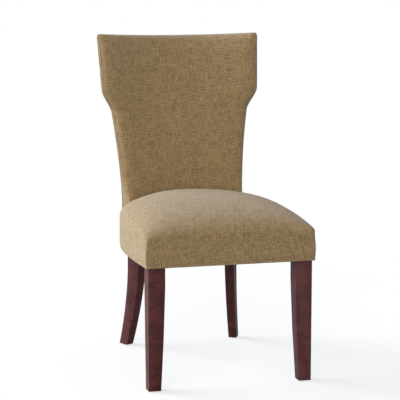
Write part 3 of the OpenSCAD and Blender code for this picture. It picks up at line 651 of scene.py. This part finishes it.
def dust_cover():
    marks = [DUST_FRONT, DUST_FRONT + DUST_FOLD, LEG_BACK, LEG_BACK + NOTCH_STEP,
             POST_FRONT - NOTCH_STEP, POST_FRONT, dust_rear(POST_INNER)]
    rows = [marks[0]]
    for low, high in zip(marks, marks[1:]):
        count = max(1, round((high - low) / DUST_STEP))
        rows += [low + (high - low) * k / count for k in range(1, count + 1)]
    shape, places = bmesh.new(), []
    across = [-1 + k / DUST_COLUMNS for k in range(2 * DUST_COLUMNS + 1)]
    for row, y in enumerate(rows):
        half = dust_half(y)
        line = []
        for a in across:
            x = a * half
            rear = dust_rear(x) - dust_rear(POST_INNER) if row == len(rows) - 1 else 0.0
            middle = (1 - (x / SEAT_HALF) ** 2) * math.sin(math.pi * row / (len(rows) - 1))
            line.append(shape.verts.new((x, y + rear, DUST_Z - DUST_SAG * max(0.0, middle))))
        places.append(line)
    for low, high in zip(places, places[1:]):
        for k in range(2 * DUST_COLUMNS):
            shape.faces.new((low[k], high[k], high[k + 1], low[k + 1]))
    mesh = bpy.data.meshes.new("cambric_dust_cover")
    shape.to_mesh(mesh)
    shape.free()
    piece = bpy.data.objects.new("cambric_dust_cover", mesh)
    bpy.context.scene.collection.objects.link(piece)
    return piece


cambric = dust_cover()
solid_cloth(cambric, DUST_THICK)
cambric.data.shade_smooth()
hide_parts("dust_cover")
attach(cambric, "root")

# %% [markdown]
# The show wood is turned out on a spindle moulder and its arrises are eased with
# sandpaper before staining. A sharp CAD edge never catches light as that does, so each
# leg is copied from its CAD node, its coplanar triangles are joined, and its edges get a
# bevel of just under a millimetre. The glides, which are turned, get a finer one.

# %% Ease the edges of the legs and the glides
SAME_PLACE, SAME_PLANE = 0.01 * MM, math.radians(1)
EASED_FROM, SHARP_FROM = math.radians(25), math.radians(30)  # the angle between two faces
EASE_ROWS = 2  # rows of faces in one eased edge


def join_flat_faces(mesh):
    """Joins the triangles of a flat face into one, so that only real edges are left."""
    shape = bmesh.new()
    shape.from_mesh(mesh)
    bmesh.ops.remove_doubles(shape, verts=shape.verts, dist=SAME_PLACE)
    bmesh.ops.dissolve_limit(shape, angle_limit=SAME_PLANE, verts=shape.verts, edges=shape.edges)
    shape.to_mesh(mesh)
    shape.free()


def eased(node, width):
    """A copy of a CAD node whose sharp edges are eased to a width."""
    mesh = nodes[node].data.copy()
    mesh.name = f"{node}_eased"
    piece = bpy.data.objects.new(f"{node}_eased", mesh)
    bpy.context.scene.collection.objects.link(piece)
    join_flat_faces(mesh)
    bevel = piece.modifiers.new("eased edges", "BEVEL")
    bevel.width = width
    bevel.segments = EASE_ROWS
    bevel.limit_method = "ANGLE"
    bevel.angle_limit = EASED_FROM
    bevel.harden_normals = True
    apply_modifiers(piece)
    span = np.ptp([v.co for v in piece.data.vertices], axis=0)
    print(piece.name, "spans", [round(float(c), 3) for c in span])
    piece.data.shade_smooth()
    piece.data.set_sharp_from_angle(angle=SHARP_FROM)
    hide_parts(node)
    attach(piece, "root")
    return piece


LEG_EASE, GLIDE_EASE = 0.9 * MM, 0.4 * MM
LEGS = ("left_front_leg", "right_front_leg", "left_rear_post", "right_rear_post")
GLIDES = ("front_left_glide", "front_right_glide", "rear_left_glide", "rear_right_glide")
legs = [eased(name, LEG_EASE) for name in LEGS]
glides = [eased(name, GLIDE_EASE) for name in GLIDES]
print("eased pieces:", [piece.name for piece in legs + glides])

# %% [markdown]
# Materials are node trees. Two small helpers are enough for all of them: one turns a
# hex colour, as a paint card gives it, into the linear values that Blender works with,
# and one adds a node with its settings and its inputs, each a value or another node's
# output.

# %% Helpers for colours and nodes
def linear(code):
    """An sRGB hex colour as linear red, green, blue and alpha."""
    parts = [int(code[k:k + 2], 16) / 255 for k in (1, 3, 5)]
    return [c / 12.92 if c <= 0.04045 else ((c + 0.055) / 1.055) ** 2.4 for c in parts] + [1.0]


def add(tree, kind, settings=None, inputs=None):
    node = tree.nodes.new("ShaderNode" + kind)
    for name, value in (settings or {}).items():
        setattr(node, name, value)
    for name, value in (inputs or {}).items():
        if isinstance(value, bpy.types.NodeSocket):
            tree.links.new(value, node.inputs[name])
        else:
            node.inputs[name].default_value = value
    return node


def material(name):
    """A new material with only its output node, and its tree."""
    made = bpy.data.materials.new(name)
    made.use_nodes = True
    tree = made.node_tree
    tree.nodes.clear()
    return made, tree, add(tree, "OutputMaterial")


def finish_surface(tree, output, shader):
    tree.links.new(shader.outputs["BSDF"], output.inputs["Surface"])


def dress(material_made, *pieces):
    for piece in pieces:
        piece.data.materials.clear()
        piece.data.materials.append(material_made)


print("mid grey is", round(linear("#808080")[0], 3), "in linear light")

# %% [markdown]
# The cover is a linen-look upholstery cloth: a plain weave of heathered polyester and
# linen yarns. Yarns of uneven thickness, called slubs, show as short flecks that run
# along the weft and, fewer, along the warp, some darker and some lighter than the
# ground. Real yarns stand about 0.6 mm apart, too fine for a picture in which one pixel
# is nearly 3 mm, so the threads are drawn about twice as coarse and the slubs carry the
# look. The surface is matt, with a faint sheen from loose fibres.

# %% The linen cover
YARN = 1.2  # mm between threads, drawn coarser than the real 0.6
MAP_TO_MM = 1 / MM
WAVE_PER_UNIT = 2 * math.pi / 20  # the scale at which a wave texture repeats once a unit
LINEN_DARK, LINEN_LIGHT, LINEN_SHEEN = "#5f4523", "#dec79e", "#f7f4ee"
LINEN_YARNS = ((0.05, "#8d6f45"), (0.35, "#b0925f"), (0.65, "#c8aa7c"), (0.95, "#e0c496"))
DARK_YARN, LIGHT_SLUB, SOFT_TONE = 0.48, 0.34, 0.10  # how much each covers the ground


def cloth_coordinates(tree, along, across):
    """The weave map in units of so many millimetres along the weft and the warp."""
    cloth_map = add(tree, "UVMap", {"uv_map": "weave"})
    scale = (MAP_TO_MM / along, MAP_TO_MM / across, 1.0)
    return add(tree, "Mapping", None, {"Vector": cloth_map.outputs[0], "Scale": scale}).outputs[0]


def flecks(tree, size, low, high, seed, detail=2.0):
    """Streaks of a size in mm along the weft and the warp, 1 where the noise is over high."""
    noise = add(tree, "TexNoise", {"noise_dimensions": "3D"}, {
        "Vector": add(tree, "VectorMath", {"operation": "ADD"}, {
            0: cloth_coordinates(tree, *size), 1: (0.0, 0.0, seed)}).outputs[0],
        "Scale": 1.0, "Detail": detail, "Roughness": 0.6})
    return add(tree, "MapRange", {"interpolation_type": "SMOOTHSTEP"}, {
        "Value": noise.outputs[0], "From Min": low, "From Max": high}).outputs[0]


def blend_colour(tree, factor, first, second, mode="MIX"):
    mix = add(tree, "Mix", {"data_type": "RGBA", "blend_type": mode}, {
        0: factor, 6: first, 7: second})
    return mix.outputs[2]


def times(tree, value, factor):
    return add(tree, "Math", {"operation": "MULTIPLY"}, {0: value, 1: factor}).outputs[0]


def ramp(tree, value, stops):
    """A colour ramp through stops, each a place from 0 to 1 and a hex colour."""
    node = add(tree, "ValToRGB", None, {"Fac": value})
    band = node.color_ramp.elements
    while len(band) < len(stops):
        band.new(0.5)
    for element, (place, code) in zip(band, stops):
        element.position = place
        element.color = linear(code)
    return node.outputs[0]


def linen_cover():
    made, tree, output = material("heathered_linen_weave")
    # the heather of single yarns, drawn about three yarns wide
    grain = flecks(tree, (1.9, 1.7), low=0.36, high=0.64, seed=19.0, detail=1.0)
    # dark yarns 30 mm long each way, and pale slubs of 12 mm, as wide as the heather
    weft = flecks(tree, (30.0, 1.7), low=0.51, high=0.66, seed=7.0, detail=0.0)
    warp = flecks(tree, (1.7, 30.0), low=0.51, high=0.66, seed=13.0, detail=0.0)
    slub = flecks(tree, (12.0, 1.9), low=0.56, high=0.68, seed=31.0, detail=0.0)
    # a soft change of tone over the width of a palm, from uneven dyeing
    tone = flecks(tree, (70, 50), low=0.3, high=0.7, seed=1.0)
    ground = ramp(tree, grain, LINEN_YARNS)
    dark = add(tree, "Math", {"operation": "MAXIMUM"}, {0: weft, 1: warp}).outputs[0]
    threaded = blend_colour(tree, times(tree, dark, DARK_YARN), ground, linear(LINEN_DARK))
    slubbed = blend_colour(tree, times(tree, slub, LIGHT_SLUB), threaded, linear(LINEN_LIGHT))
    cloth = blend_colour(tree, times(tree, tone, SOFT_TONE), slubbed, linear(LINEN_DARK))
    threads = [add(tree, "TexWave", {"bands_direction": way}, {
        "Vector": cloth_coordinates(tree, YARN, YARN), "Scale": WAVE_PER_UNIT,
        "Distortion": 1.0, "Detail": 1.0}).outputs["Fac"] for way in ("X", "Y")]
    weave = add(tree, "Math", {"operation": "MULTIPLY"}, {0: threads[0], 1: threads[1]}).outputs[0]
    height = add(tree, "Math", {"operation": "SUBTRACT"}, {0: weave, 1: dark}).outputs[0]
    bump = add(tree, "Bump", None, {"Height": height, "Strength": 0.4, "Distance": 0.5 * MM})
    finish_surface(tree, output, add(tree, "BsdfPrincipled", None, {
        "Base Color": cloth, "Roughness": 0.9, "Specular IOR Level": 0.2,
        "Sheen Weight": 0.34, "Sheen Roughness": 0.6,
        "Sheen Tint": linear(LINEN_SHEEN), "Normal": bump.outputs[0]}))
    return made


dress(linen_cover(), seat, inside_back, outside_back, *flaps.values())
print("linen cover on", 3 + len(flaps), "pieces")

# %% [markdown]
# The legs are a plain hardwood, such as rubberwood, stained to a deep red mahogany and
# finished with a satin lacquer. The stain settles in the pores and darkens them, while
# a ribbon figure crosses the face in soft bands. A thin clear coat gives broad, quiet
# highlights.

# %% The stained wood of the legs
STAIN, STAIN_DEEP, STAIN_LIGHT = "#552725", "#2b1312", "#6b3431"
STAIN_MARKS = (0.30, 0.30, 0.45, 0.5)  # how dark ripple, fibres, spots and pores are


def grain_noise(tree, size, seed, detail=3.0):
    """Noise stretched to a size in mm along X, Y and Z of the chair's own frame."""
    place = add(tree, "TexCoord").outputs["Object"]
    scaled = add(tree, "Mapping", None, {
        "Vector": place, "Location": (seed, seed, seed),
        "Scale": tuple(MAP_TO_MM / s for s in size)}).outputs[0]
    return add(tree, "TexNoise", None, {
        "Vector": scaled, "Scale": 1.0, "Detail": detail, "Roughness": 0.55}).outputs[0]


def spread(tree, value, low, high):
    """Noise turned into marks, 0 below low and 1 above high."""
    return add(tree, "MapRange", {"interpolation_type": "SMOOTHSTEP"}, {
        "Value": value, "From Min": low, "From Max": high}).outputs[0]


def stained_wood():
    made, tree, output = material("mahogany_stained_hardwood_satin_lacquer")
    # the ribbon figure and the finer ripple that cross the leg, with their real sizes in mm
    bands = spread(tree, grain_noise(tree, (60, 60, 26), seed=3.0), low=0.36, high=0.66)
    ripple = spread(tree, grain_noise(tree, (24, 24, 6), seed=23.0), low=0.48, high=0.70)
    # bundles of fibres along the leg, and small spots where the stain took more
    fibres = spread(tree, grain_noise(tree, (1.8, 1.8, 55), seed=11.0), low=0.42, high=0.70)
    spots = spread(tree, grain_noise(tree, (8, 8, 5), seed=41.0, detail=1.0), low=0.63, high=0.72)
    # pores, drawn about three times as wide as the real 0.3
    pores = spread(tree, grain_noise(tree, (0.9, 0.9, 14), seed=29.0, detail=1.0), low=0.60, high=0.72)
    wood = blend_colour(tree, bands, linear(STAIN), linear(STAIN_LIGHT))
    for mark, strength in zip((ripple, fibres, spots, pores), STAIN_MARKS):
        wood = blend_colour(tree, times(tree, mark, strength), wood, linear(STAIN_DEEP))
    bump = add(tree, "Bump", None, {"Height": pores, "Strength": 0.25, "Distance": -0.15 * MM})
    finish_surface(tree, output, add(tree, "BsdfPrincipled", None, {
        "Base Color": wood, "Roughness": 0.48, "Specular IOR Level": 0.34,
        "Coat Weight": 0.12, "Coat Roughness": 0.25, "Normal": bump.outputs[0]}))
    return made


dress(stained_wood(), *legs)
print("stained wood on", len(legs), "legs")

# %% [markdown]
# Under the cloth the chair is plain joinery and webbing. None of it shows from outside,
# but it is real, so each part gets the finish of its own stuff: planed beech for the
# rails, pale birch for blocks and dowels, zinc-plated steel, black woven webbing, jute
# hessian, foam, fibre wadding, grey board, black cambric and moulded nylon.

# %% The finishes under the cover
def bare_wood(name, light, dark, size):
    """Planed wood with growth bands of a size in mm, and flecks 4 mm long across them."""
    made, tree, output = material(name)
    growth = spread(tree, grain_noise(tree, size, seed=5.0), low=0.3, high=0.7)
    flecked = spread(tree, grain_noise(tree, (4, 1.2, 1.2), seed=17.0), low=0.62, high=0.7)
    wood = blend_colour(tree, growth, linear(light), linear(dark))
    grained = blend_colour(tree, times(tree, flecked, 0.5), wood, linear(dark))
    bump = add(tree, "Bump", None, {"Height": flecked, "Strength": 0.2, "Distance": 0.1 * MM})
    finish_surface(tree, output, add(tree, "BsdfPrincipled", None, {
        "Base Color": grained, "Roughness": 0.62, "Normal": bump.outputs[0]}))
    return made


def plain_weave(name, light, dark, pitch):
    """A woven band or sacking drawn from the frame's own axes, pitch in mm."""
    made, tree, output = material(name)
    place = add(tree, "TexCoord").outputs["Object"]
    waves = [add(tree, "TexWave", {"bands_direction": way}, {
        "Vector": place, "Scale": MAP_TO_MM * WAVE_PER_UNIT / pitch, "Distortion": 1.0,
        "Detail": 1.0}).outputs["Fac"] for way in ("X", "Y", "Z")]
    crossed = add(tree, "Math", {"operation": "MULTIPLY"}, {0: waves[0], 1: waves[1]}).outputs[0]
    weave = add(tree, "Math", {"operation": "MULTIPLY"}, {0: crossed, 1: waves[2]}).outputs[0]
    fuzz = spread(tree, grain_noise(tree, (pitch, pitch, pitch), seed=9.0), low=0.35, high=0.7)
    cloth = blend_colour(tree, times(tree, fuzz, 0.7), linear(light), linear(dark))
    bump = add(tree, "Bump", None, {"Height": weave, "Strength": 0.5, "Distance": 0.4 * MM})
    finish_surface(tree, output, add(tree, "BsdfPrincipled", None, {
        "Base Color": cloth, "Roughness": 0.85, "Specular IOR Level": 0.2,
        "Normal": bump.outputs[0]}))
    return made


def mottled(name, light, dark, size, roughness, metallic=0.0, depth=0.1):
    """A moulded, foamed or plated surface with a mottle of a size and a depth in mm."""
    made, tree, output = material(name)
    mottle = spread(tree, grain_noise(tree, (size, size, size), seed=2.0), low=0.35, high=0.68)
    colour = blend_colour(tree, mottle, linear(light), linear(dark))
    bump = add(tree, "Bump", None, {"Height": mottle, "Strength": 0.3, "Distance": depth * MM})
    finish_surface(tree, output, add(tree, "BsdfPrincipled", None, {
        "Base Color": colour, "Roughness": roughness, "Metallic": metallic,
        "Normal": bump.outputs[0]}))
    return made


FINISHES = {
    # planed wood, pale gold and pale cream, with broad soft bands and short darker flecks
    "frame_hardwood": bare_wood("planed_beech", "#d9bb90", "#c39f6f", (60, 5, 5)),
    "block_hardwood": bare_wood("planed_birch", "#dcc59d", "#c9ad80", (40, 7, 7)),
    # a clear metallic shine, a little cloudy from the plating bath
    "zinc_steel": mottled("zinc_plated_steel", "#c4c6c8", "#a2a5a9", 3, 0.32, metallic=1.0),
    # a near-black band whose ribs show only in raking light
    "woven_webbing": plain_weave("black_woven_polypropylene_webbing", "#34322f", "#1f1e1d", 2.2),
    # coarse brown sacking with an open, hairy weave
    "jute_hessian": plain_weave("woven_jute_hessian", "#b79a68", "#8d7246", 2.0),
    # cream and dead matt, its cells drawn at 2.5 mm, coarser than the real 0.6
    "seat_foam": mottled("cut_polyurethane_foam", "#ece0bb", "#e0d0a2", 2.5, 0.9, depth=0.4),
    # white and fluffy, in tufts of about 5 mm
    "polyester_wadding": mottled(
        "bonded_polyester_wadding", "#f1efe9", "#dedbd2", 5, 0.95, depth=0.8),
    # dull grey board with a fine fibrous speckle
    "backing_board": mottled("grey_fibre_board", "#a8a39a", "#948f86", 1.5, 0.85),
    # soft black cloth without a shine, drawn coarser than the real 0.5 mm
    "black_cambric": plain_weave("black_woven_cambric", "#262524", "#171616", 1.4),
    # brown plastic with a half-gloss skin
    "nylon_glide": mottled("moulded_brown_nylon", "#4e3f35", "#41342c", 4, 0.45),
}
for piece in glides:
    dress(FINISHES["nylon_glide"], piece)
dress(FINISHES["black_cambric"], cambric)
for entry in frame["record"]["subparts"]:
    finish = FINISHES.get(entry["material_slot"])
    if finish:
        dress(finish, nodes[entry["node"]])
bare = [name for name, node in nodes.items() if not node.hide_render and not node.data.materials]
print("nodes still without a finish:", bare)

# %% [markdown]
# The chair stands on a plain white floor in soft studio light. The key is broad and comes
# from the left and slightly behind, so it rakes across the weave of the seat and picks
# out the edges. A weaker, equally broad light from the front left stands for a reflector
# and shapes the curve of the back, and an even sky fills the rest. To the camera, and in
# reflections, the sky is plain white, while on the chair it is only as bright as the fill
# should be. The floor adds a little light of its own for the camera, which lifts it to
# white and still lets the chair's shadow show.

# %% Light, sky and floor
FILL, SKY_WHITE = 0.28, 1.0
LAMPS = (  # name, colour, strength, where it comes from
    ("soft_key", "#e8f1ff", 4.05, (-1.0, 0.55, 0.36)),
    ("reflector", "#fff8f0", 0.95, (-0.50, -0.85, 0.45)),
)
LAMP_SPREAD = math.radians(50)
FLOOR_OWN, FLOOR_GREY, FLOOR_HALF = 0.67, "#b5b5b5", 30.0

sky = bpy.data.worlds.new("even_sky")
sky.use_nodes = True
bpy.context.scene.world = sky
tree = sky.node_tree
tree.nodes.clear()
path = add(tree, "LightPath")
seen_ray = path.outputs["Is Camera Ray"]
for other in ("Is Glossy Ray", "Is Transmission Ray"):
    seen_ray = add(tree, "Math", {"operation": "MAXIMUM"}, {
        0: seen_ray, 1: path.outputs[other]}).outputs[0]
level = add(tree, "MapRange", None, {"Value": seen_ray, "To Min": FILL, "To Max": SKY_WHITE})
glow = add(tree, "Background", None, {
    "Color": (1.0, 1.0, 1.0, 1.0), "Strength": level.outputs[0]})
add(tree, "OutputWorld", None, {"Surface": glow.outputs[0]})

for name, colour, strength, source in LAMPS:
    light = bpy.data.lights.new(name, "SUN")
    light.color = linear(colour)[:3]
    light.energy = strength
    light.angle = LAMP_SPREAD
    lamp = bpy.data.objects.new(name, light)
    lamp.rotation_euler = Vector(source).to_track_quat("Z", "Y").to_euler()
    bpy.context.scene.collection.objects.link(lamp)


def floor_paint():
    made, tree, output = material("matt_white_painted_floor")
    seen = add(tree, "LightPath").outputs["Is Camera Ray"]
    paint = add(tree, "BsdfDiffuse", None, {"Color": linear(FLOOR_GREY)})
    own = add(tree, "Emission", None, {"Color": (1.0, 1.0, 1.0, 1.0), "Strength": times(
        tree, seen, FLOOR_OWN)})
    both = add(tree, "AddShader", None, {0: paint.outputs[0], 1: own.outputs[0]})
    tree.links.new(both.outputs[0], output.inputs["Surface"])
    return made


ground = bpy.data.meshes.new("floor")
ground.from_pydata([(x * FLOOR_HALF, y * FLOOR_HALF, 0.0) for x, y in
                    ((-1, -1), (1, -1), (1, 1), (-1, 1))], [], [(0, 1, 2, 3)])
floor = bpy.data.objects.new("floor", ground)
bpy.context.scene.collection.objects.link(floor)
dress(floor_paint(), floor)
print("lamps:", [name for name, *_ in LAMPS], "fill", FILL)

# %% [markdown]
# The photograph was taken with a long lens from a little over four metres, slightly above
# the top of the chair and fifteen degrees to the left of its front. The long lens keeps
# the near and the far legs almost the same size.

# %% The camera
EYE = (-1.2126, -4.4285, 1.1815)
LOOK_DOWN, LOOK_RIGHT = math.radians(8.468), math.radians(15.327)
view = bpy.data.cameras.new("view")
view.lens = 136.1
view.shift_x, view.shift_y = -0.001, 0.0015
view.clip_end = 100.0
camera = bpy.data.objects.new("view", view)
camera.location = EYE
camera.rotation_euler = (math.pi / 2 - LOOK_DOWN, 0.0, -LOOK_RIGHT)
bpy.context.scene.collection.objects.link(camera)
bpy.context.scene.camera = camera
bpy.context.scene.view_settings.view_transform = "Standard"
print("camera", round(math.dist(EYE, (0, SEAT_FRONT, 0.6)), 2), "m from the seat")

# %% Finish
bpy.context.view_layer.update()
